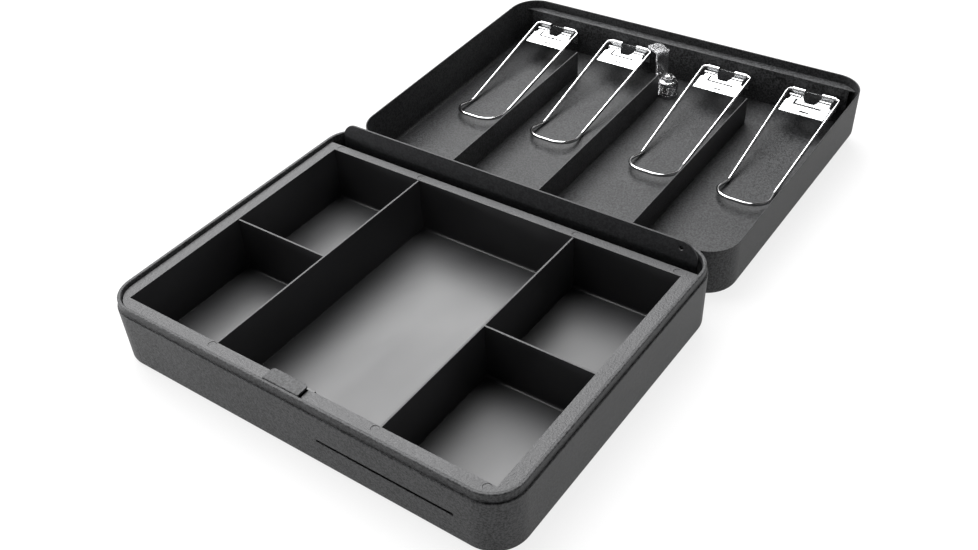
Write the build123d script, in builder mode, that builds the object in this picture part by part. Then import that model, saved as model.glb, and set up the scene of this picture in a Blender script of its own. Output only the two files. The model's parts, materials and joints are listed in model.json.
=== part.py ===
from build123d import *
import math
import os

# Portable steel cash box, stored with its lid swung open behind it.
# Frame: +X to the right, +Y to the back (hinge side), +Z up.
# Origin: centre of the box body's underside.  Millimetres.

# ---- driving dimensions ---------------------------------------------------
WIDTH = 300.0           # body and lid, outside, left to right
DEPTH = 236.0           # body and lid, outside, front to back
SHEET = 0.8             # steel sheet
CORNER = 22.0           # plan corner radius
SHOULDER_Z = 40.0       # top of the body's outer wall
RIM_Z = 46.0            # top of the neck that the lid closes over
JOGGLE = 1.2            # step inwards from the outer wall to the neck
HEM = 2.4               # thickness of the folded rim
HEM_HEIGHT = 3.4
EDGE_ROUND = 3.0        # bend radius where wall meets bottom or lid panel

LID_HEIGHT = 36.0       # lid, rim to outside of its panel
LID_TILT = 2.0          # degrees; the open lid rises this much to the back
HINGE_Z = 38.5
HINGE_OUT = 3.5         # hinge axis behind the body's back wall
LID_RIM_DROP = 1.8      # lid rim below the hinge axis, measured in the lid

KNUCKLE_R = 3.0
PIN_R = 1.5
PIN_FIT = 0.05          # running clearance, radial
KNUCKLES = 20
KNUCKLE_PITCH = 12.0
KNUCKLE_GAP = 0.3
LEAF_DEPTH = 18.0
NOTCH = 3.3             # leaf cut back this far from the axis at the other leaf's knuckles
NOTCH_DEPTH = 4.0

TRAY_TOP = 43.2
TRAY_BOTTOM = 1.0
TRAY_WALL = 1.8
TRAY_FLOOR_Z = 3.0
TRAY_EDGE = 4.0         # flange edge inside the body's outside
TRAY_RIM = 12.6         # clear opening inside the body's outside
TRAY_BACK = 214.4       # back edge of the flange, from the front
TRAY_OPEN_BACK = 207.4
DIVIDER_TOP = 42.7
TRAY_DIVIDER = 1.2      # thickness of the walls between compartments
LEFT_DIVIDER_X = -61.2
RIGHT_DIVIDER_X = 62.4
CROSS_DIVIDER = 108.8   # from the front
FLOOR_SWEEP = 1.8       # curved foot of each compartment's back and front walls

CATCH_X = (-15.9, 10.8)
LOCK_X = 4.5
LOCK_OUT = 207.5        # lock axis from the hinge axis
TONGUE_ANGLE = 150.0    # cam direction when unlocked
TONGUE_WIDTH = 10.8
TONGUE_REACH = 23.5

NOTE_DIVIDERS = {"left": -74.5, "centre": 0.0, "right": 74.5}
CLIP_X = (-111.0, -42.0, 44.5, 115.0)
CLIP_PIVOT = (228.0, -14.5)   # distance from the hinge axis, height under the rim
WIRE_R = 1.25
WIRE_FIT = 0.05
RAIL_WEB = 231.5        # front face of the clip rail from the hinge axis
PLATE_SLOPE = 0.145
PLATE_T = 0.8
PLATE_HALF = 17.4
PLATE_NOTCH = ((3.2, 4.0), (6.4, 6.4))  # half widths left and right, at its foot and above
PLATE_CUT_TOP = 230.6
PLATE_WAIST = 15.4
PLATE_TAIL_H = -27.0    # foot of the tab riveted to the rail

HANDLE_PIVOT = 121.5    # from the hinge axis
HANDLE_HALF = 46.0
HANDLE_REACH = 34.0
HANDLE_R = 1.5
HANDLE_DROP = 1.9       # grip centre below the lid panel's outside


def from_front(distance):
    """Y of a point at a distance behind the body's front face."""
    return distance - DEPTH / 2


HINGE_Y = from_front(DEPTH + HINGE_OUT)
TILT = math.radians(LID_TILT)
LID_NORMAL = (0, -math.sin(TILT), math.cos(TILT))
# The lid's rim plane: local x is +X, local y runs from the hinge axis to the
# lid's far edge, and the inside of the lid is on the negative side.
HINGE_PLANE = Plane(origin=(0, HINGE_Y, HINGE_Z), x_dir=(1, 0, 0), z_dir=LID_NORMAL)
LID = HINGE_PLANE.offset(-LID_RIM_DROP)
# Same frame seen from the side: local x away from the hinge, local y up.
LID_SIDE = Plane(origin=LID.origin, x_dir=LID.y_dir, z_dir=LID.x_dir)
LID_CENTRE = HINGE_OUT + DEPTH / 2
PANEL_IN = -LID_HEIGHT + SHEET


def side_plane(x):
    """Plane across the body at x: local x is +Y, local y is +Z."""
    return Plane.YZ.offset(x)


def front_plane(distance):
    """Plane parallel to the front wall, facing the front."""
    return Plane.XZ.offset(-from_front(distance))


def ring(inset, bottom, top, mode=Mode.ADD):
    """Prism of the body's plan, drawn in by inset, between two heights."""
    with BuildSketch(Plane.XY.offset(bottom)) as plan:
        RectangleRounded(WIDTH - 2 * inset, DEPTH - 2 * inset, CORNER - inset)
    extrude(plan.sketch, amount=top - bottom, mode=mode)


def lid_block(x, out, width, depth, low, high, mode=Mode.ADD):
    """Box in the lid, centred at (x, out), from height low to height high."""
    with BuildSketch(LID.offset(low)) as plan:
        with Locations((x, out)):
            Rectangle(width, depth)
    extrude(plan.sketch, amount=high - low, mode=mode)


def body_block(x0, x1, front, back, low, high, mode=Mode.ADD):
    """Box in the body between two distances from the front."""
    with BuildSketch(Plane.XY.offset(low)) as plan:
        with Locations(((x0 + x1) / 2, from_front((front + back) / 2))):
            Rectangle(x1 - x0, back - front)
    extrude(plan.sketch, amount=high - low, mode=mode)


def lid_disc(x, out, radius, low, high, mode=Mode.ADD):
    """Round boss or hole in the lid."""
    with BuildSketch(LID.offset(low)) as plan:
        with Locations((x, out)):
            Circle(radius)
    extrude(plan.sketch, amount=high - low, mode=mode)


def lid_rod(x0, x1, out, height, radius, mode=Mode.ADD):
    """Round bar across the lid."""
    with BuildSketch(LID_SIDE.offset(x0)) as section:
        with Locations((out, height)):
            Circle(radius)
    extrude(section.sketch, amount=x1 - x0, mode=mode)


# ---- body shell: drawn steel tub with a joggled neck and folded rim ---------
SLOT_X = (23.5, 117.8)
SLOT_Z = (19.5, 21.5)

with BuildPart() as body_shell:
    ring(0, 0, SHOULDER_Z)
    ring(SHEET, SHEET, SHOULDER_Z - SHEET, Mode.SUBTRACT)
    inner_bend = body_shell.edges().filter_by_position(Axis.Z, SHEET - 0.01, SHEET + 0.01)
    fillet(inner_bend, EDGE_ROUND - SHEET)
    fillet(body_shell.edges().group_by(Axis.Z)[0], EDGE_ROUND)
    fillet(body_shell.edges().group_by(Axis.Z)[-1], SHEET * 0.7)
    ring(JOGGLE, SHOULDER_Z - SHEET, RIM_Z)
    ring(JOGGLE + SHEET, SHOULDER_Z - SHEET, RIM_Z - HEM_HEIGHT, Mode.SUBTRACT)
    ring(JOGGLE + HEM, RIM_Z - HEM_HEIGHT, RIM_Z, Mode.SUBTRACT)
    fillet(body_shell.edges().group_by(Axis.Z)[-1], HEM / 3)
    body_block(*SLOT_X, -1, 2, *SLOT_Z, Mode.SUBTRACT)
body_shell.part.label = "body_shell"
export_step(body_shell.part, "parts/body_shell.step")

# ---- catch: strap inside the front wall, bent over the tray's rim -----------
CATCH_T = 1.2
CATCH_TOP = 45.4
CATCH_REACH = 13.8
CATCH_FOOT_Z = 22.0
CATCH_JOG_Z = (35.0, 39.0)  # where the strap leans in to clear the folded rim
CATCH_JOG_INSIDE = 0.4
CATCH_TAB_ROUND = 2.5
LEG_FACE = JOGGLE + HEM + 0.1

with BuildPart() as catch_bracket:
    with BuildSketch(side_plane(CATCH_X[0])) as strap:
        with BuildLine():
            Polyline(
                (from_front(SHEET), CATCH_FOOT_Z),
                (from_front(SHEET), CATCH_JOG_Z[0]),
                (from_front(LEG_FACE), CATCH_JOG_Z[1]),
                (from_front(LEG_FACE), CATCH_TOP),
                (from_front(CATCH_REACH), CATCH_TOP),
                (from_front(CATCH_REACH), CATCH_TOP - CATCH_T),
                (from_front(LEG_FACE + CATCH_T), CATCH_TOP - CATCH_T),
                (from_front(LEG_FACE + CATCH_T), CATCH_JOG_Z[1] - CATCH_JOG_INSIDE),
                (from_front(SHEET + CATCH_T), CATCH_JOG_Z[0] - CATCH_JOG_INSIDE),
                (from_front(SHEET + CATCH_T), CATCH_FOOT_Z),
                close=True,
            )
        make_face()
    extrude(amount=CATCH_X[1] - CATCH_X[0])
    fold = catch_bracket.edges().filter_by(Axis.X).filter_by_position(Axis.Z, CATCH_TOP - 0.01, 99)
    fillet(fold.sort_by(Axis.Y)[0], CATCH_T)
    tab_corners = catch_bracket.edges().filter_by(Axis.Z).group_by(Axis.Y)[-1]
    fillet(tab_corners, CATCH_TAB_ROUND)
catch_bracket.part.label = "catch_bracket"
export_step(catch_bracket.part, "parts/catch_bracket.step")

# ---- back plate: screen between the tray and the hinge side -----------------
PLATE_FRONT = 222.6
PLATE_SHEET = 1.2
PLATE_X = 140.5
PLATE_Z = 56.5
PLATE_CORNER = 12.0
PLATE_FOOT = (132.0, 8.5)   # half width and depth of the flange on the floor
PLATE_HOLE = (129.0, 51.0)
PLATE_HOLE_R = 1.75

with BuildPart() as back_plate:
    with BuildSketch(front_plane(PLATE_FRONT + PLATE_SHEET)):
        with Locations((0, (SHEET + PLATE_Z) / 2)):
            screen = Rectangle(2 * PLATE_X, PLATE_Z - SHEET)
        fillet(screen.vertices().group_by(Axis.Z)[-1], PLATE_CORNER)
    extrude(amount=PLATE_SHEET)
    foot_back = PLATE_FRONT + PLATE_FOOT[1]
    body_block(-PLATE_FOOT[0], PLATE_FOOT[0], PLATE_FRONT, foot_back, SHEET, SHEET + PLATE_SHEET)
    with BuildSketch(front_plane(PLATE_FRONT + 2 * PLATE_SHEET)):
        with Locations(PLATE_HOLE):
            Circle(PLATE_HOLE_R)
    extrude(amount=3 * PLATE_SHEET, mode=Mode.SUBTRACT)
back_plate.part.label = "back_plate"
export_step(back_plate.part, "parts/back_plate.step")


# ---- piano hinge: two leaves with alternating knuckles on one pin -----------
def knuckle_start(index):
    """Left end of a knuckle, centred in its share of the hinge's length."""
    left = -KNUCKLES * KNUCKLE_PITCH / 2
    return left + index * KNUCKLE_PITCH + KNUCKLE_GAP / 2


def axis_side(plane):
    """+1 where the hinge axis lies further along the plane's x than the leaf."""
    return -1 if plane is LID_SIDE else 1


def hinge_leaf(plane, own, other, inner, outer, drop, axis_up, bore):
    """One leaf in a side plane: own knuckles kept, room cut for the other leaf's."""
    half = KNUCKLES * KNUCKLE_PITCH / 2
    with BuildSketch(plane.offset(-half)) as leaf:
        with Locations(((inner + outer) / 2, axis_up - drop / 2)):
            Rectangle(abs(outer - inner), drop)
    extrude(leaf.sketch, amount=2 * half)
    for index in other:
        with BuildSketch(plane.offset(knuckle_start(index) - KNUCKLE_GAP)) as gap:
            with Locations(((inner + outer) / 2, axis_up)):
                Rectangle(NOTCH_DEPTH, 2 * NOTCH)
        extrude(gap.sketch, amount=KNUCKLE_PITCH + KNUCKLE_GAP, mode=Mode.SUBTRACT)
    knuckle_centre = (inner + outer) / 2 + math.copysign(HINGE_OUT - SHEET / 2, axis_side(plane))
    for index in own:
        with BuildSketch(plane.offset(knuckle_start(index))) as barrel:
            with Locations((knuckle_centre, axis_up)):
                Circle(KNUCKLE_R)
        extrude(barrel.sketch, amount=KNUCKLE_PITCH - KNUCKLE_GAP)
    with BuildSketch(plane.offset(-half - 1)) as hole:
        with Locations((knuckle_centre, axis_up)):
            Circle(bore)
    extrude(hole.sketch, amount=2 * half + 2, mode=Mode.SUBTRACT)


with BuildPart() as hinge_leaf_body:
    hinge_leaf(
        Plane.YZ,
        range(0, KNUCKLES, 2),
        range(1, KNUCKLES, 2),
        from_front(DEPTH),
        from_front(DEPTH + SHEET),
        LEAF_DEPTH,
        HINGE_Z,
        PIN_R + 0.01,
    )
hinge_leaf_body.part.label = "hinge_leaf_body"
export_step(hinge_leaf_body.part, "parts/hinge_leaf_body.step")

with BuildPart() as hinge_leaf_lid:
    hinge_leaf(
        LID_SIDE,
        range(1, KNUCKLES, 2),
        range(0, KNUCKLES, 2),
        HINGE_OUT - SHEET,
        HINGE_OUT,
        LEAF_DEPTH + LID_RIM_DROP,
        LID_RIM_DROP,
        PIN_R + PIN_FIT,
    )
hinge_leaf_lid.part.label = "hinge_leaf_lid"
export_step(hinge_leaf_lid.part, "parts/hinge_leaf_lid.step")

with BuildPart() as hinge_pin:
    pin_half = KNUCKLES * KNUCKLE_PITCH / 2
    lid_rod(-pin_half, pin_half, 0, LID_RIM_DROP, PIN_R)
    fillet(hinge_pin.edges(), PIN_R / 4)
hinge_pin.part.label = "hinge_pin"
export_step(hinge_pin.part, "parts/hinge_pin.step")

# ---- coin tray: moulded insert with a wide rim and five compartments --------
TRAY_SIDE = WIDTH / 2 - TRAY_RIM
SIDE_LEFT = (-TRAY_SIDE, LEFT_DIVIDER_X - TRAY_DIVIDER / 2)
SIDE_RIGHT = (RIGHT_DIVIDER_X + TRAY_DIVIDER / 2, TRAY_SIDE)
MIDDLE = (LEFT_DIVIDER_X + TRAY_DIVIDER / 2, RIGHT_DIVIDER_X - TRAY_DIVIDER / 2)
FRONT_ROW = (TRAY_RIM, CROSS_DIVIDER - TRAY_DIVIDER / 2)
BACK_ROW = (CROSS_DIVIDER + TRAY_DIVIDER / 2, TRAY_OPEN_BACK)
FULL_ROW = (TRAY_RIM, TRAY_OPEN_BACK)
COMPARTMENTS = (
    (SIDE_LEFT, FRONT_ROW),
    (SIDE_LEFT, BACK_ROW),
    (MIDDLE, FULL_ROW),
    (SIDE_RIGHT, FRONT_ROW),
    (SIDE_RIGHT, BACK_ROW),
)
CHANNEL_X = (-17.5, 11.6)   # recess that the catch stands in, so the tray lifts straight out
CHANNEL_BACK = 14.4
CHANNEL_WALL = 1.4
CHANNEL_TOP = 40.0
FLANGE_BACK_ROUND = 4.0
FLANGE_EDGE = 0.5
TUB_CORNER = 2.5
MARK_R = 2.6
MARK_DEPTH = 0.25
FRONT_MARKS = [(-62, 9.8), (61, 9.8), (133.4, 9.8)]
BACK_MARKS = [(-133.8, 210.6), (-61.3, 210.6), (62.6, 210.6), (133.8, 210.6)]


def compartment(columns, rows):
    """Pocket with a curved foot at its back and front walls."""
    with BuildSketch(side_plane(columns[0])) as pocket:
        with Locations((from_front((rows[0] + rows[1]) / 2), TRAY_FLOOR_Z + RIM_Z / 2)):
            box = Rectangle(rows[1] - rows[0], RIM_Z)
        fillet(box.vertices().group_by(Axis.Z)[0], FLOOR_SWEEP)
    extrude(pocket.sketch, amount=columns[1] - columns[0], mode=Mode.SUBTRACT)


with BuildPart() as coin_tray:
    with BuildSketch(Plane.XY.offset(TRAY_TOP - TRAY_WALL)):
        with Locations((0, from_front((TRAY_EDGE + TRAY_BACK) / 2))):
            flange = Rectangle(WIDTH - 2 * TRAY_EDGE, TRAY_BACK - TRAY_EDGE)
        fillet(flange.vertices().group_by(Axis.Y)[0], CORNER - TRAY_EDGE)
        fillet(flange.vertices().group_by(Axis.Y)[-1], FLANGE_BACK_ROUND)
    extrude(amount=TRAY_WALL)
    fillet(coin_tray.edges().group_by(Axis.Z)[-1], FLANGE_EDGE)
    with BuildSketch(Plane.XY.offset(TRAY_BOTTOM)):
        with Locations((0, from_front((TRAY_RIM + TRAY_OPEN_BACK) / 2))):
            RectangleRounded(
                2 * (TRAY_SIDE + TRAY_WALL),
                TRAY_OPEN_BACK - TRAY_RIM + 2 * TRAY_WALL,
                TUB_CORNER,
            )
    extrude(amount=TRAY_TOP - TRAY_WALL - TRAY_BOTTOM)
    for columns, rows in COMPARTMENTS:
        compartment(columns, rows)
    body_block(-TRAY_SIDE, TRAY_SIDE, *FULL_ROW, DIVIDER_TOP, RIM_Z, Mode.SUBTRACT)
    body_block(
        CHANNEL_X[0] - CHANNEL_WALL,
        CHANNEL_X[1] + CHANNEL_WALL,
        TRAY_RIM - TRAY_WALL / 3,
        CHANNEL_BACK + CHANNEL_WALL,
        TRAY_BOTTOM,
        CHANNEL_TOP,
    )
    body_block(*CHANNEL_X, 0, CHANNEL_BACK, 0, RIM_Z, Mode.SUBTRACT)
    body_block(*CHANNEL_X, 0, TRAY_FLOOR_Z + TRAY_RIM, CHANNEL_TOP, RIM_Z, Mode.SUBTRACT)
    with BuildSketch(Plane.XY.offset(TRAY_TOP - MARK_DEPTH)):
        with Locations(*[(x, from_front(y)) for x, y in FRONT_MARKS + BACK_MARKS]):
            Circle(MARK_R)
    extrude(amount=1, mode=Mode.SUBTRACT)
coin_tray.part.label = "coin_tray"
export_step(coin_tray.part, "parts/coin_tray.step")

# ---- lid shell --------------------------------------------------------------
BARREL_R = 7.5


def lid_ring(inset, low, high, mode=Mode.ADD):
    """Prism of the lid's plan, drawn in by inset, between two heights."""
    with BuildSketch(LID.offset(low)) as plan:
        with Locations((0, LID_CENTRE)):
            RectangleRounded(WIDTH - 2 * inset, DEPTH - 2 * inset, CORNER - inset)
    extrude(plan.sketch, amount=high - low, mode=mode)


with BuildPart() as lid_shell:
    lid_ring(0, -LID_HEIGHT, 0)
    lid_ring(SHEET, PANEL_IN, 0, Mode.SUBTRACT)
    panel_faces = lid_shell.faces().sort_by(SortBy.AREA)[-2:].sort_by(Axis.Z)
    fillet(panel_faces[1].edges(), EDGE_ROUND - SHEET)
    fillet(lid_shell.faces().sort_by(SortBy.AREA)[-1].edges(), EDGE_ROUND)
    lid_disc(LOCK_X, LOCK_OUT, BARREL_R + 0.1, -LID_HEIGHT - 1, PANEL_IN + 1, Mode.SUBTRACT)
lid_shell.part.label = "lid_shell"
export_step(lid_shell.part, "parts/lid_shell.step")

# ---- note dividers: blades with a foot flange spot-welded to the panel ------
DIVIDER_NEAR = 20.5
DIVIDER_FAR = 199.0
DIVIDER_H = -14.0
FOOT = 8.0

for side, x in NOTE_DIVIDERS.items():
    with BuildPart() as note_divider:
        middle = (DIVIDER_NEAR + DIVIDER_FAR) / 2
        length = DIVIDER_FAR - DIVIDER_NEAR
        lid_block(x, middle, SHEET, length, PANEL_IN, DIVIDER_H)
        lid_block(x - FOOT / 2, middle, FOOT, length - 6, PANEL_IN, PANEL_IN + SHEET)
    note_divider.part.label = f"note_divider_{side}"
    export_step(note_divider.part, f"parts/note_divider_{side}.step")

# ---- clip rail: ledge along the lid's far wall ------------------------------
LEDGE_H = -6.4
RAIL_LENGTH = 278.0
RAIL_REACH = 100.0      # cutting width, past the lid's far wall

with BuildPart() as clip_rail:
    with BuildSketch(LID.offset(LEDGE_H - SHEET)):
        with Locations((0, LID_CENTRE)):
            RectangleRounded(WIDTH - 2 * SHEET - 0.2, DEPTH - 2 * SHEET - 0.2, CORNER - SHEET)
        with Locations((0, RAIL_WEB + RAIL_REACH / 2)):
            Rectangle(WIDTH, RAIL_REACH, mode=Mode.INTERSECT)
    extrude(amount=SHEET)
    lid_block(0, RAIL_WEB + SHEET / 2, RAIL_LENGTH, SHEET, PANEL_IN, LEDGE_H)
clip_rail.part.label = "clip_rail"
export_step(clip_rail.part, "parts/clip_rail.step")

# ---- note clips: spring plates and sprung wire bails ------------------------
KNUCKLE_OUT_R = 2.1
KNUCKLE_X = (6.6, 16.6)
PLATE_AT_PIVOT = -16.2
CURL_OUT = 223.6        # rolled root of each knuckle's tab
CURL_R = 1.1
PLATE_FRONT_OUT = 204.5
RIVET_X = 11.0
RIVET_H = -22.5
RIVET_R = 2.4
WIRE_END = 10.0         # wire ends and corners, measured from the clip's centre
WIRE_HEEL = 20.0
WIRE_KNEE = (17.1, 123.0, -33.6)    # half width, distance out, height
WIRE_TOE = (21.0, 98.2, -29.2)
WIRE_BOW = 14.0         # corner radius of the bowed toe


def plate_height(out):
    """Top of the sloping clip plate at a distance from the hinge axis."""
    return PLATE_AT_PIVOT - (CLIP_PIVOT[0] - out) * PLATE_SLOPE


def clip_cut(points):
    """Cut a plan shape down through the clip plate."""
    with BuildSketch(LID.offset(-30)) as shape:
        with BuildLine():
            Polyline(*points, close=True)
        make_face()
    extrude(shape.sketch, amount=25, mode=Mode.SUBTRACT)


def clip_slot(x0, x1, out0, out1):
    """Cut a straight slot down through the clip plate."""
    lid_block((x0 + x1) / 2, (out0 + out1) / 2, x1 - x0, out1 - out0, -24, -16.5, Mode.SUBTRACT)


for number, clip_x in enumerate(CLIP_X, start=1):
    with BuildPart() as clip_bracket:
        with BuildSketch(LID_SIDE.offset(clip_x - PLATE_HALF)):
            with BuildLine():
                Polyline(
                    (PLATE_FRONT_OUT, plate_height(PLATE_FRONT_OUT)),
                    (RAIL_WEB, plate_height(RAIL_WEB)),
                    (RAIL_WEB, PLATE_TAIL_H),
                    (RAIL_WEB - PLATE_T, PLATE_TAIL_H),
                    (RAIL_WEB - PLATE_T, plate_height(RAIL_WEB - PLATE_T) - PLATE_T),
                    (PLATE_FRONT_OUT, plate_height(PLATE_FRONT_OUT) - PLATE_T),
                    close=True,
                )
            make_face()
        extrude(amount=2 * PLATE_HALF)
        clip_cut([
            (clip_x - PLATE_NOTCH[0][0], 218.5),
            (clip_x + PLATE_NOTCH[0][1], 218.5),
            (clip_x + PLATE_NOTCH[1][1], 224.0),
            (clip_x + PLATE_NOTCH[1][1], PLATE_CUT_TOP),
            (clip_x - PLATE_NOTCH[1][0], PLATE_CUT_TOP),
            (clip_x - PLATE_NOTCH[1][0], 224.0),
        ])
        for side in (-1, 1):
            clip_cut([
                (clip_x + side * PLATE_WAIST, 219.5),
                (clip_x + side * 17.0, 218.0),
                (clip_x + side * 19.0, 218.0),
                (clip_x + side * 19.0, PLATE_CUT_TOP),
                (clip_x + side * PLATE_WAIST, PLATE_CUT_TOP),
            ])
        clip_slot(clip_x - 9.4, clip_x + 11.0, 214.4, 215.9)
        clip_slot(clip_x - 10.8, clip_x - 9.3, 214.4, 221.0)
        clip_slot(clip_x - 2.6, clip_x + 4.2, 207.6, 209.0)
        for side in (-1, 1):
            low, high = sorted((side * KNUCKLE_X[0], side * KNUCKLE_X[1]))
            lid_rod(clip_x + low, clip_x + high, *CLIP_PIVOT, KNUCKLE_OUT_R)
            lid_rod(clip_x + low - 1, clip_x + high + 1, *CLIP_PIVOT, WIRE_R + WIRE_FIT, Mode.SUBTRACT)
            lid_rod(clip_x + low, clip_x + high - 1.4, CURL_OUT, plate_height(CURL_OUT), CURL_R)
    clip_bracket.part.label = f"clip_bracket_{number}"
    export_step(clip_bracket.part, f"parts/clip_bracket_{number}.step")

    with BuildPart() as clip_wire:
        with BuildLine(LID) as wire_path:
            FilletPolyline(
                (clip_x - WIRE_END, *CLIP_PIVOT),
                (clip_x - WIRE_HEEL, *CLIP_PIVOT),
                (clip_x - WIRE_KNEE[0], *WIRE_KNEE[1:]),
                (clip_x - WIRE_TOE[0], *WIRE_TOE[1:]),
                (clip_x + WIRE_TOE[0], *WIRE_TOE[1:]),
                (clip_x + WIRE_KNEE[0], *WIRE_KNEE[1:]),
                (clip_x + WIRE_HEEL, *CLIP_PIVOT),
                (clip_x + WIRE_END, *CLIP_PIVOT),
                radius=(2.6, 12.0, WIRE_BOW, WIRE_BOW, 12.0, 2.6),
            )
        with BuildSketch(wire_path.line ^ 0):
            Circle(WIRE_R)
        sweep()
    clip_wire.part.label = f"clip_wire_{number}"
    export_step(clip_wire.part, f"parts/clip_wire_{number}.step")

    for side, offset_x in (("a", -RIVET_X), ("b", RIVET_X)):
        rivet_plane = Plane(
            origin=LID.from_local_coords(Vector(clip_x + offset_x, RAIL_WEB - PLATE_T, RIVET_H)),
            x_dir=(1, 0, 0),
            z_dir=-LID.y_dir,
        )
        with BuildPart() as clip_rivet:
            with BuildSketch(rivet_plane):
                Circle(RIVET_R)
            extrude(amount=1.0)
            fillet(clip_rivet.edges().sort_by(Axis.Y)[0], 0.8)
        clip_rivet.part.label = f"clip_rivet_{number}{side}"
        export_step(clip_rivet.part, f"parts/clip_rivet_{number}{side}.step")

# ---- cam lock: barrel, ring nut, key plug, cranked cam and nut --------------
BARREL_TOP = -24.6
PLUG_R = 5.2
CAM_LOW = -24.2
CAM_T = 1.5
NUT_T = 3.2
TAIL_R = 3.0
TAIL_FIT = 0.02
RISER = 10.8            # outer face of the cam's riser from the lock axis
TONGUE_TOP = -1.5

with BuildPart() as lock_barrel:
    lid_disc(LOCK_X, LOCK_OUT, 11, -LID_HEIGHT - 2.2, -LID_HEIGHT)
    fillet(lock_barrel.edges().sort_by(Axis.Z)[0], 0.8)
    with BuildSketch(LID.offset(-LID_HEIGHT)) as threaded:
        with Locations((LOCK_X, LOCK_OUT)):
            Circle(BARREL_R)
            Rectangle(2 * BARREL_R, 12.6, mode=Mode.INTERSECT)
    extrude(threaded.sketch, amount=BARREL_TOP + LID_HEIGHT)
    lid_disc(LOCK_X, LOCK_OUT, PLUG_R + PIN_FIT, -LID_HEIGHT - 3, BARREL_TOP + 1, Mode.SUBTRACT)
lock_barrel.part.label = "lock_barrel"
export_step(lock_barrel.part, "parts/lock_barrel.step")

with BuildPart() as lock_ring_nut:
    with BuildSketch(LID.offset(PANEL_IN)):
        with Locations((LOCK_X, LOCK_OUT)):
            RegularPolygon(9.2, 6)
            Circle(BARREL_R + 0.05, mode=Mode.SUBTRACT)
    extrude(amount=3.2)
lock_ring_nut.part.label = "lock_ring_nut"
export_step(lock_ring_nut.part, "parts/lock_ring_nut.step")

with BuildPart() as lock_plug:
    lid_disc(LOCK_X, LOCK_OUT, PLUG_R, -LID_HEIGHT - 2.4, CAM_LOW)
    lid_disc(LOCK_X, LOCK_OUT, TAIL_R, CAM_LOW, CAM_LOW + CAM_T + NUT_T + 1.1)
    lid_block(LOCK_X, LOCK_OUT, 1.2, 7.0, -LID_HEIGHT - 3, -LID_HEIGHT + 6, Mode.SUBTRACT)
lock_plug.part.label = "lock_plug"
export_step(lock_plug.part, "parts/lock_plug.step")

cam_angle = math.radians(TONGUE_ANGLE)
cam_x = LID.x_dir * math.cos(cam_angle) + LID.y_dir * math.sin(cam_angle)


def cam_plane(height):
    """Plane on the lock axis whose x points along the cam's tongue."""
    origin = LID.from_local_coords(Vector(LOCK_X, LOCK_OUT, height))
    return Plane(origin=origin, x_dir=cam_x, z_dir=LID.z_dir)


with BuildPart() as lock_cam:
    with BuildSketch(cam_plane(CAM_LOW)):
        Circle(7.2)
        with Locations((RISER / 2, 0)):
            Rectangle(RISER, TONGUE_WIDTH)
        Circle(TAIL_R + TAIL_FIT, mode=Mode.SUBTRACT)
    extrude(amount=CAM_T)
    with BuildSketch(cam_plane(CAM_LOW)):
        with Locations((RISER - CAM_T / 2, 0)):
            Rectangle(CAM_T, TONGUE_WIDTH)
    extrude(amount=TONGUE_TOP - CAM_LOW)
    with BuildSketch(cam_plane(TONGUE_TOP - CAM_T)):
        with Locations(((RISER - CAM_T + TONGUE_REACH) / 2, 0)):
            tongue = Rectangle(TONGUE_REACH - RISER + CAM_T, TONGUE_WIDTH)
        ends = tongue.vertices().sort_by_distance(cam_plane(TONGUE_TOP).origin)[-2:]
        fillet(ends, 5.2)
    extrude(amount=CAM_T)
lock_cam.part.label = "lock_cam"
export_step(lock_cam.part, "parts/lock_cam.step")

with BuildPart() as cam_nut:
    with BuildSketch(cam_plane(CAM_LOW + CAM_T)):
        RegularPolygon(5.2, 6)
        Circle(TAIL_R + TAIL_FIT, mode=Mode.SUBTRACT)
    extrude(amount=NUT_T)
cam_nut.part.label = "cam_nut"
export_step(cam_nut.part, "parts/cam_nut.step")

# ---- folding carry handle on the lid's outside ------------------------------
GRIP_H = -LID_HEIGHT - HANDLE_DROP
HANDLE_END = 9.0        # inturned ends that the saddles hold
SADDLE_IN = 6.5
SADDLE_WIDTH = 5.0
SADDLE_LENGTH = 20.0
SADDLE_WALL = 0.9

with BuildPart() as carry_handle:
    with BuildLine(LID) as bail:
        FilletPolyline(
            (-HANDLE_HALF + HANDLE_END, HANDLE_PIVOT, GRIP_H),
            (-HANDLE_HALF, HANDLE_PIVOT, GRIP_H),
            (-HANDLE_HALF, HANDLE_PIVOT + HANDLE_REACH, GRIP_H),
            (HANDLE_HALF, HANDLE_PIVOT + HANDLE_REACH, GRIP_H),
            (HANDLE_HALF, HANDLE_PIVOT, GRIP_H),
            (HANDLE_HALF - HANDLE_END, HANDLE_PIVOT, GRIP_H),
            radius=(2.5, 9.0, 9.0, 2.5),
        )
    with BuildSketch(bail.line ^ 0):
        Circle(HANDLE_R)
    sweep()
carry_handle.part.label = "carry_handle"
export_step(carry_handle.part, "parts/carry_handle.step")

for side, x in (("left", -HANDLE_HALF + SADDLE_IN), ("right", HANDLE_HALF - SADDLE_IN)):
    with BuildPart() as handle_saddle:
        hump = HANDLE_R + PIN_FIT + SADDLE_WALL
        x0 = x - SADDLE_WIDTH / 2
        x1 = x + SADDLE_WIDTH / 2
        lid_rod(x0, x1, HANDLE_PIVOT, GRIP_H, hump)
        lid_block(x, HANDLE_PIVOT, SADDLE_WIDTH, 2 * hump, GRIP_H, -LID_HEIGHT)
        lid_block(x, HANDLE_PIVOT, SADDLE_WIDTH, SADDLE_LENGTH, -LID_HEIGHT - SADDLE_WALL, -LID_HEIGHT)
        lid_block(x, HANDLE_PIVOT, SADDLE_WIDTH, 2 * SADDLE_LENGTH, -LID_HEIGHT, 0, Mode.SUBTRACT)
        lid_rod(x0 - 1, x1 + 1, HANDLE_PIVOT, GRIP_H, HANDLE_R + PIN_FIT, Mode.SUBTRACT)
    handle_saddle.part.label = f"handle_saddle_{side}"
    export_step(handle_saddle.part, f"parts/handle_saddle_{side}.step")
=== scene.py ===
import json
import math

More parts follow.
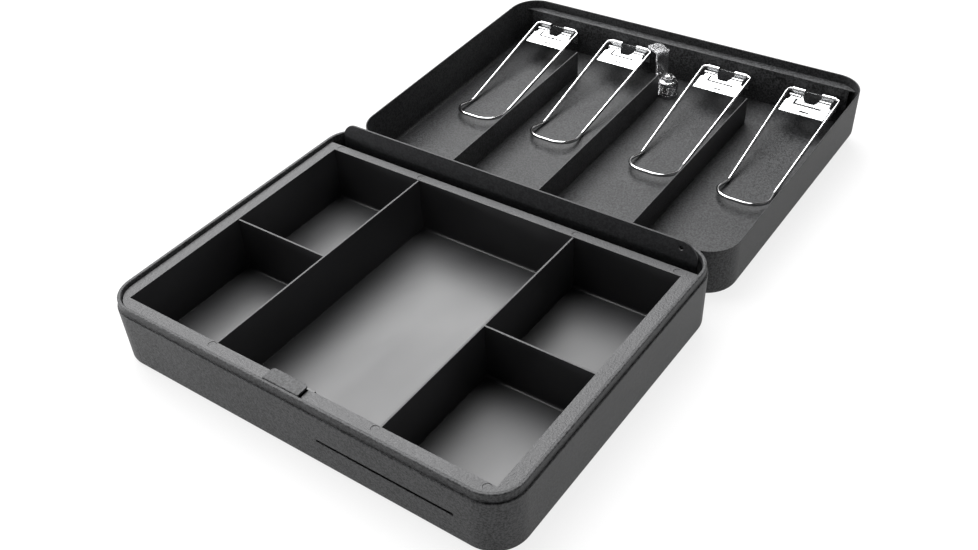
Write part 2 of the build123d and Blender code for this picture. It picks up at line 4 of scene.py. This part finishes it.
import bmesh
import bpy
from mathutils import Matrix, Vector


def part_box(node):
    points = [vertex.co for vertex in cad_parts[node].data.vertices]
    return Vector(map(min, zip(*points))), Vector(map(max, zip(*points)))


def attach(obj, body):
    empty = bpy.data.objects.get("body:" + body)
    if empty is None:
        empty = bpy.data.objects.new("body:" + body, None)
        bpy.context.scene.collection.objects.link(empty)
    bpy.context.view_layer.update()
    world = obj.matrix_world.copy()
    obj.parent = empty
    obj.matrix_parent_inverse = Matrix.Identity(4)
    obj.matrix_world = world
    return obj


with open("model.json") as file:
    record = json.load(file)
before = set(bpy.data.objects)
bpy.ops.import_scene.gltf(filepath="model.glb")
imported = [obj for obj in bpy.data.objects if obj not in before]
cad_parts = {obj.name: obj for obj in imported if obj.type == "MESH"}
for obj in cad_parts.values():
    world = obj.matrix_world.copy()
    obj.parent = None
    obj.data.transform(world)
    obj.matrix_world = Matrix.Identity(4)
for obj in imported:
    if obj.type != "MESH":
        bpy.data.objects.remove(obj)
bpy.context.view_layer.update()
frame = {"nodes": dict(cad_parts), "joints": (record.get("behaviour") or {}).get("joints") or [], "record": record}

MM = 0.001
NODES = frame["nodes"]
JOINTS = {joint["name"]: joint for joint in frame["joints"]}


# ---- where things are, read from the frame ----------------------------------
BODY_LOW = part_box("body_shell")[0]
LOCK_POINT = Vector(JOINTS["lock_turn"]["pos_m"])
LID_UP = -Vector(JOINTS["lock_turn"]["axis"]).normalized()
LID_OUT = LID_UP.cross(Vector((1, 0, 0))).normalized()
LOCK_FRAME = Matrix.Translation(LOCK_POINT) @ Matrix(
    ((1, LID_OUT.x, LID_UP.x), (0, LID_OUT.y, LID_UP.y), (0, LID_OUT.z, LID_UP.z))
).to_4x4()


def span(node, origin, direction):
    """Least and greatest distance of a node's points along a direction from an origin."""
    along = [(vertex.co - origin).dot(direction) for vertex in NODES[node].data.vertices]
    return min(along), max(along)


# ---- node helpers ------------------------------------------------------------
class Surface:
    """A Principled material and short calls for the nodes that feed it."""

    def __init__(self, name, **sockets):
        self.material = bpy.data.materials.new(name)
        self.material.use_nodes = True
        self.tree = self.material.node_tree
        self.shader = self.tree.nodes["Principled BSDF"]
        self.place = self.tree.nodes.new("ShaderNodeTexCoord").outputs["Object"]
        for socket, value in sockets.items():
            self.shader.inputs[socket.replace("_", " ")].default_value = value

    def link(self, source, target):
        self.tree.links.new(source, target)

    def node(self, kind, **inputs):
        made = self.tree.nodes.new(kind)
        for name, value in inputs.items():
            made.inputs[name.replace("_", " ")].default_value = value
        return made

    def noise(self, scale, detail=2.0, roughness=0.5, stretch=None):
        made = self.node("ShaderNodeTexNoise", Scale=scale, Detail=detail, Roughness=roughness)
        if stretch is None:
            self.link(self.place, made.inputs["Vector"])
        else:
            mapping = self.node("ShaderNodeMapping", Scale=stretch)
            self.link(self.place, mapping.inputs["Vector"])
            self.link(mapping.outputs["Vector"], made.inputs["Vector"])
        return made.outputs["Fac"]

    def cells(self, scale, feature):
        made = self.node("ShaderNodeTexVoronoi", Scale=scale)
        made.feature = feature
        self.link(self.place, made.inputs["Vector"])
        return made.outputs["Distance"]

    def ramp(self, source, low, high, at=(0.0, 1.0)):
        """Map a value's range onto a range of values."""
        made = self.node(
            "ShaderNodeMapRange", From_Min=at[0], From_Max=at[1], To_Min=low, To_Max=high
        )
        self.link(source, made.inputs["Value"])
        return made.outputs["Result"]

    def maths(self, operation, first, second):
        made = self.tree.nodes.new("ShaderNodeMath")
        made.operation = operation
        for socket, value in zip(made.inputs, (first, second)):
            if isinstance(value, (int, float)):
                socket.default_value = value
            else:
                self.link(value, socket)
        return made.outputs["Value"]

    def blend(self, first, second, share):
        """Weighted sum of two values; share is the second one's weight."""
        main = self.maths("MULTIPLY", first, 1 - share)
        return self.maths("ADD", main, self.maths("MULTIPLY", second, share))

    def tint(self, source, low, high, at=(0.35, 0.65)):
        made = self.tree.nodes.new("ShaderNodeValToRGB")
        made.color_ramp.elements[0].position = at[0]
        made.color_ramp.elements[1].position = at[1]
        made.color_ramp.elements[0].color = (*low, 1)
        made.color_ramp.elements[1].color = (*high, 1)
        self.link(source, made.inputs["Fac"])
        self.link(made.outputs["Color"], self.shader.inputs["Base Color"])

    def rough(self, source, low, high, at=(0.3, 0.7)):
        self.link(self.ramp(source, low, high, at), self.shader.inputs["Roughness"])

    def relief(self, layers, edge=0.0):
        """Chain bumps, each (height, strength, distance in metres), over softened edges."""
        normal = None
        if edge:
            softened = self.tree.nodes.new("ShaderNodeBevel")
            softened.samples = 4
            softened.inputs["Radius"].default_value = edge
            normal = softened.outputs["Normal"]
        for height, strength, distance in layers:
            bump = self.node("ShaderNodeBump", Strength=strength, Distance=distance)
            self.link(height, bump.inputs["Height"])
            if normal is not None:
                self.link(normal, bump.inputs["Normal"])
            normal = bump.outputs["Normal"]
        self.link(normal, self.shader.inputs["Normal"])

    def normal_up(self, direction):
        """How far the true surface faces a direction, from -1 to 1."""
        geometry = self.tree.nodes.new("ShaderNodeNewGeometry")
        dot = self.tree.nodes.new("ShaderNodeVectorMath")
        dot.operation = "DOT_PRODUCT"
        dot.inputs[1].default_value = direction
        self.link(geometry.outputs["True Normal"], dot.inputs[0])
        return dot.outputs["Value"]

    def height(self):
        """Z in the object's own coordinates, in metres."""
        parts = self.tree.nodes.new("ShaderNodeSeparateXYZ")
        self.link(self.place, parts.inputs["Vector"])
        return parts.outputs["Z"]


# ---- materials ----------------------------------------------------------------
SPECKLE_SHARE = 0.08    # how much slow, patchy variation the coat's speckle carries


def powder_coat(name, dark, light, grain=1.0, roughness=(0.40, 0.60)):
    """Fine-textured powder coat: sandy grain over orange peel, speckled light and dark."""
    surface = Surface(name, IOR=1.5, Specular_IOR_Level=0.24)
    fine = surface.noise(2100, detail=2.0, roughness=0.6)
    sand = surface.noise(760, detail=4.0, roughness=0.68)
    peel = surface.noise(300, detail=1.5)
    patch = surface.noise(26, detail=3.0)
    surface.tint(surface.blend(sand, patch, SPECKLE_SHARE), dark, light, at=(0.42, 0.58))
    surface.rough(sand, *roughness)
    surface.relief(
        (
            (peel, 0.25 * grain, 0.5 * MM),
            (sand, 0.75 * grain, 0.34 * MM),
            (fine, 0.35 * grain, 0.16 * MM),
        ),
        edge=0.45 * MM,
    )
    return surface.material


def smooth_shaded_coat(name):
    """The same paint over the flat back plate, with weaker grain; its darker colour is painted shade."""
    return powder_coat(name, (0.014, 0.0142, 0.0155), (0.028, 0.0282, 0.030), 0.4, (0.46, 0.56))


RIM_GRAIN_DEPTH = 0.9 * MM      # below the tray's top, where the pebbled grain ends
RIM_GRAIN_FADE = 0.6 * MM


def moulded_plastic(name):
    """Black plastic: pebbled grain on the rim's upper face, which is also painted lighter as painted sheen, satin
    pockets below it.
    """
    surface = Surface(name, IOR=1.49, Specular_IOR_Level=0.55)
    facing = surface.ramp(surface.normal_up((0, 0, 1)), 0, 1, at=(0.55, 0.9))
    rim_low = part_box("coin_tray")[1].z - RIM_GRAIN_DEPTH
    near_rim = surface.ramp(surface.height(), 0, 1, at=(rim_low - RIM_GRAIN_FADE, rim_low))
    on_rim = surface.maths("MULTIPLY", facing, near_rim)
    pebble = surface.cells(820, "SMOOTH_F1")
    crease = surface.noise(1500, detail=2.0)
    flow = surface.noise(14, detail=4.0, roughness=0.6, stretch=(1.0, 0.45, 1.0))
    sink = surface.noise(36, detail=1.0)
    grain = surface.maths("MULTIPLY", on_rim, surface.maths("ADD", pebble, crease))
    # Colour: the flow's random tone, plus the rim's upward face painted a lighter grey as painted sheen.
    shade = surface.maths(
        "ADD", surface.maths("MULTIPLY", flow, 0.6), surface.maths("MULTIPLY", on_rim, 0.25)
    )
    surface.tint(shade, (0.010, 0.010, 0.011), (0.030, 0.030, 0.032), at=(0.2, 0.7))
    satin = surface.ramp(flow, 0.40, 0.50, at=(0.35, 0.65))
    rim_rough = surface.ramp(crease, 0.50, 0.66, at=(0.3, 0.7))
    off_rim = surface.maths("SUBTRACT", 1.0, on_rim)
    pocket_part = surface.maths("MULTIPLY", satin, off_rim)
    rim_part = surface.maths("MULTIPLY", rim_rough, on_rim)
    roughness = surface.maths("ADD", pocket_part, rim_part)
    surface.link(roughness, surface.shader.inputs["Roughness"])
    surface.relief(
        ((sink, 0.05, 0.5 * MM), (flow, 0.06, 0.6 * MM), (grain, 0.8, 0.3 * MM)),
        edge=0.35 * MM,
    )
    return surface.material


def plated(name, colour, roughness, stretch, mottled):
    """Plating over steel: drawing lines, a cloudy film and small pits.

    The lines run along the axis whose scale in stretch is smallest.
    """
    surface = Surface(name, Metallic=1.0)
    lines = surface.noise(900, detail=3.0, stretch=stretch)
    cloud = surface.noise(120, detail=3.0)
    pits = surface.noise(3200, detail=1.0)
    dull = tuple(channel * (1 - 0.16 * mottled) for channel in colour)
    surface.tint(surface.blend(cloud, lines, 0.4), dull, colour)
    surface.rough(surface.blend(lines, cloud, 0.5), *roughness)
    surface.relief(((lines, 0.05, 0.1 * MM), (pits, 0.02, 0.05 * MM)), edge=0.25 * MM)
    return surface.material


COAT = powder_coat("powder_coat", (0.007, 0.0072, 0.0076), (0.050, 0.0505, 0.0525))
# The lid's copy of the body's powder coat, painted darker: painted shade.
LID_COAT_SHADED = powder_coat(
    "powder_coat_lid_painted_shade", (0.0042, 0.0044, 0.0047), (0.034, 0.0345, 0.0362), 1.0, (0.44, 0.60)
)
SCREEN_COAT_SHADED = smooth_shaded_coat("powder_coat_screen_painted_shade")
PLASTIC = moulded_plastic("moulded_plastic")
ZINC = plated("bright_zinc", (0.50, 0.505, 0.51), (0.20, 0.34), (0.15, 1.6, 1.6), 0.5)
WIRE = plated("nickel_wire", (0.52, 0.52, 0.525), (0.10, 0.20), (1.5, 0.1, 1.0), 0.3)
CHROME = plated("lock_chrome", (0.60, 0.60, 0.61), (0.12, 0.22), (1.2, 1.2, 0.4), 0.3)
STEEL = plated("drawn_steel", (0.52, 0.52, 0.53), (0.25, 0.38), (0.1, 1.5, 1.5), 0.8)

FINISH_OF = {
    "powder_coat": COAT,
    "tray_plastic": PLASTIC,
    "zinc_plate": ZINC,
    "chrome_wire": WIRE,
    "lock_chrome": CHROME,
    "handle_steel": WIRE,
    "pin_steel": STEEL,
}
# Both overrides are darker copies of the powder coat: painted shade on the back plate and the lid.
SPECIAL = {"back_plate": SCREEN_COAT_SHADED, "lid_shell": LID_COAT_SHADED}


def dress_frame():
    """Give every CAD node the material of its slot; the lid shell and back plate get darker copies of the coat
    instead, as painted shade.
    """
    for part in frame["record"]["subparts"]:
        node = NODES[part["node"]]
        finish = SPECIAL.get(part["node"], FINISH_OF[part["material_slot"]])
        node.data.materials.clear()
        node.data.materials.append(finish)


# ---- pieces added to the frame --------------------------------------------------
def piece(name, mesh, finish, body, place=None):
    """Finish a bmesh as a piece that rides on a body."""
    if place is not None:
        mesh.transform(place)
    bmesh.ops.recalc_face_normals(mesh, faces=mesh.faces)
    data = bpy.data.meshes.new(name)
    mesh.to_mesh(data)
    mesh.free()
    made = bpy.data.objects.new(name, data)
    bpy.context.scene.collection.objects.link(made)
    data.materials.append(finish)
    for polygon in data.polygons:
        polygon.use_smooth = True
    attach(made, body)
    return made


def lathe(profile, steps=48, wobble=None):
    """Solid of revolution from (radius, height) points, with a flat cap at each end.

    wobble(angle) scales the radii round the axis.
    """
    mesh = bmesh.new()
    rows = []
    for radius, height in profile:
        row = []
        for step in range(steps):
            angle = 2 * math.pi * step / steps
            reach = radius * (wobble(angle) if wobble else 1)
            row.append(mesh.verts.new((reach * math.cos(angle), reach * math.sin(angle), height)))
        rows.append(row)
    for low, high in zip(rows, rows[1:]):
        for step in range(steps):
            after = (step + 1) % steps
            mesh.faces.new((low[step], low[after], high[after], high[step]))
    mesh.faces.new(rows[0])
    mesh.faces.new(rows[-1])
    return mesh


THREAD_HALF = 0.32      # half the ridge's foot, as a share of the pitch
THREAD_FADE = 8         # steps over which the ridge rises and dies away


def helix(radius_at, pitch, turns, depth, steps=64):
    """Thread ridge: a triangular section wound round the z axis."""
    mesh = bmesh.new()
    rows = []
    for step in range(int(turns * steps) + 1):
        angle = 2 * math.pi * step / steps
        rise = pitch * step / steps
        fade = min(1.0, step / THREAD_FADE, (turns * steps - step) / THREAD_FADE)
        root = radius_at(angle)
        row = []
        for out, up in ((0.0, -THREAD_HALF), (depth * fade, 0.0), (0.0, THREAD_HALF)):
            reach = root + out
            point = (reach * math.cos(angle), reach * math.sin(angle), rise + up * pitch)
            row.append(mesh.verts.new(point))
        rows.append(row)
    for low, high in zip(rows, rows[1:]):
        for side in range(3):
            after = (side + 1) % 3
            mesh.faces.new((low[side], low[after], high[after], high[side]))
    mesh.faces.new(rows[0])
    mesh.faces.new(rows[-1])
    return mesh


BARREL_R = 7.5 * MM
BARREL_FLAT = 6.3 * MM
THREAD_PITCH = 0.9 * MM
THREAD_DEPTH = 0.28 * MM
THREAD_SINK = 0.05 * MM
THREAD_MARGIN = 0.8     # pitches left plain at each end


def barrel_outline(angle):
    """Radius of the thread's root, just inside the barrel's section, which has two flats."""
    across = abs(math.sin(angle))
    flat = BARREL_FLAT / across if across > 1e-6 else BARREL_R
    return min(BARREL_R, flat) - THREAD_SINK


WASHER_BORE = 5.35 * MM
WASHER_R = 6.9 * MM
WASHER_RIM = 0.45 * MM
WASHER_CROWN = 0.7 * MM
WASHER_TEETH = 16
WASHER_TOOTH = 0.035    # share of the radius
SCREW_R = 2.9 * MM
SCREW_DOME = 1.1 * MM
SCREW_ROOT = 0.2 * MM
SCREW_STEPS = 8


def lock_part(name, mesh, body, height):
    """Chrome piece on the lock's axis, at a height above the lock's own origin."""
    place = LOCK_FRAME @ Matrix.Translation((0, 0, height))
    piece(name, mesh, CHROME, body, place)


def lock_details():
    """Thread on the barrel, toothed washer on the cam and the plug's domed screw end."""
    barrel_top = span("lock_barrel", LOCK_POINT, LID_UP)[1]
    nut_top = span("lock_ring_nut", LOCK_POINT, LID_UP)[1]
    turns = (barrel_top - nut_top) / THREAD_PITCH - 2 * THREAD_MARGIN
    thread = helix(barrel_outline, THREAD_PITCH, turns, THREAD_DEPTH)
    lock_part("lock_thread", thread, "lid", nut_top + THREAD_MARGIN * THREAD_PITCH)

    cam_top = span("cam_nut", LOCK_POINT, LID_UP)[0]
    washer = lathe(
        ((WASHER_BORE, 0), (WASHER_R, 0), (WASHER_R, WASHER_RIM), (WASHER_BORE, WASHER_CROWN)),
        steps=96,
        wobble=lambda angle: 1 + WASHER_TOOTH * math.sin(WASHER_TEETH * angle),
    )
    lock_part("lock_washer", washer, "lock", cam_top)

    tail = span("lock_plug", LOCK_POINT, LID_UP)[1]
    profile = [(SCREW_R, -SCREW_ROOT)]
    for step in range(SCREW_STEPS):
        rise = step * math.pi / 2 / SCREW_STEPS
        profile.append((SCREW_R * math.cos(rise), SCREW_DOME * math.sin(rise)))
    lock_part("lock_screw_end", lathe(profile), "lock", tail)


WELD_PROFILE = ((2.1 * MM, 0), (2.0 * MM, 0.14 * MM), (1.3 * MM, 0.16 * MM), (0.9 * MM, 0.05 * MM))
WELD_SINK = 0.02 * MM
WELDS_PER_FOOT = 4
WELD_FIRST = 0.12       # first weld and spacing, as shares of the divider's length
WELD_STEP = 0.25
FOOT_MIDDLE = 4 * MM
FOOT_TOP = 1.6 * MM     # two sheets up from the lid panel's outside


def weld_marks():
    """Shallow rings left by spot welds along the divider feet."""
    foot_top = span("lid_shell", LOCK_POINT, LID_UP)[0] + FOOT_TOP
    turn = LOCK_FRAME.to_3x3().to_4x4()
    for name in ("left", "centre", "right"):
        low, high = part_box(f"note_divider_{name}")
        near, far = ((corner - LOCK_POINT).dot(LID_OUT) for corner in (low, high))
        for number in range(WELDS_PER_FOOT):
            out = near + (WELD_FIRST + WELD_STEP * number) * (far - near)
            point = LOCK_POINT + LID_OUT * out + LID_UP * (foot_top - WELD_SINK)
            point.x = low.x + FOOT_MIDDLE
            place = Matrix.Translation(point) @ turn
            ring = lathe(WELD_PROFILE, 20)
            # The welds take the lid's darker coat copy, whose darkness is painted shade.
            piece(f"foot_weld_{name}_{number + 1}", ring, LID_COAT_SHADED, "lid", place)


# ---- floor, light and camera ------------------------------------------------------
FLOOR_GAP = 0.2 * MM
FLOOR_GLOW = 0.82       # keeps the floor pale where the object shades it
WORLD_GLOW = 0.05
# Floor and the low wall it curves up into: (radius, height) in metres.
COVE = ((0.05, 0.0), (4.5, 0.0), (5.2, 0.12), (5.7, 0.5), (5.9, 1.1), (5.95, 2.8))


def make_floor():
    """Plain pale floor that curves up all round into a low backdrop."""
    surface = Surface("studio_floor", Roughness=0.9, Specular_IOR_Level=0.1)
    surface.tint(surface.noise(6, detail=2.0), (0.12, 0.12, 0.12), (0.13, 0.13, 0.13))
    surface.shader.inputs["Emission Color"].default_value = (1, 1, 1, 1)
    surface.shader.inputs["Emission Strength"].default_value = FLOOR_GLOW
    mesh = lathe(COVE, steps=96)
    mesh.faces.ensure_lookup_table()
    bmesh.ops.delete(mesh, geom=[mesh.faces[-1]], context="FACES_ONLY")
    data = bpy.data.meshes.new("floor")
    mesh.to_mesh(data)
    mesh.free()
    floor = bpy.data.objects.new("floor", data)
    floor.location = (0, 0, BODY_LOW.z - FLOOR_GAP)
    bpy.context.scene.collection.objects.link(floor)
    data.materials.append(surface.material)


def softbox(name, azimuth, elevation, distance, size, power, target=(0, 0.1, 0.03)):
    """Area light aimed at the object. Azimuth 0 is in front of it and 90 to its right."""
    data = bpy.data.lights.new(name, "AREA")
    data.shape = "RECTANGLE"
    data.size, data.size_y = size
    data.energy = power
    lamp = bpy.data.objects.new(name, data)
    a, e = math.radians(azimuth), math.radians(elevation)
    toward = Vector((math.sin(a) * math.cos(e), -math.cos(a) * math.cos(e), math.sin(e)))
    lamp.location = Vector(target) + toward * distance
    lamp.visible_camera = False
    lamp.rotation_mode = "QUATERNION"
    lamp.rotation_quaternion = toward.to_track_quat("Z", "Y")
    bpy.context.scene.collection.objects.link(lamp)


def make_light():
    """Faint white world and three soft boxes, of which back_box is the main light."""
    world = bpy.data.worlds.new("studio")
    world.use_nodes = True
    world.node_tree.nodes["Background"].inputs["Color"].default_value = (1, 1, 1, 1)
    world.node_tree.nodes["Background"].inputs["Strength"].default_value = WORLD_GLOW
    bpy.context.scene.world = world
    softbox("back_box", 231, 60, 1.4, (1.5, 1.5), 80, target=(-0.08, 0.02, 0.03))
    softbox("front_left_box", -56, 4, 0.62, (0.40, 0.09), 3.2, target=(-0.10, -0.14, 0.03))
    softbox("right_strip", 84, 22, 2.0, (0.5, 0.8), 3)


VIEW_YAW = 40.15
VIEW_PITCH = 42.52
VIEW_ROLL = 5.26
VIEW_POINT = Vector((0.3435, -0.3843, 0.4588))
VIEW_LENS = 39.66
VIEW_SHIFT = (0.0509, 0.0725)


def make_camera():
    """Camera at the product view: from the front right and above."""
    yaw, pitch, roll = (math.radians(v) for v in (VIEW_YAW, VIEW_PITCH, VIEW_ROLL))
    ahead = Vector((-math.sin(yaw), math.cos(yaw), 0))
    forward = ahead * math.cos(pitch) - Vector((0, 0, math.sin(pitch)))
    level = Vector((math.cos(yaw), math.sin(yaw), 0))
    down = forward.cross(level)
    right = level * math.cos(roll) + down * math.sin(roll)
    down = down * math.cos(roll) - level * math.sin(roll)
    turn = Matrix((right, -down, -forward)).transposed()
    data = bpy.data.cameras.new("camera")
    data.lens = VIEW_LENS
    data.sensor_width = 36
    data.sensor_fit = "HORIZONTAL"
    data.shift_x, data.shift_y = VIEW_SHIFT
    data.clip_start = 0.02
    camera = bpy.data.objects.new("camera", data)
    camera.matrix_world = Matrix.Translation(VIEW_POINT) @ turn.to_4x4()
    bpy.context.scene.collection.objects.link(camera)
    bpy.context.scene.camera = camera


dress_frame()
lock_details()
weld_marks()
make_floor()
make_light()
make_camera()
bpy.context.scene.view_settings.view_transform = "Standard"

bpy.context.view_layer.update()
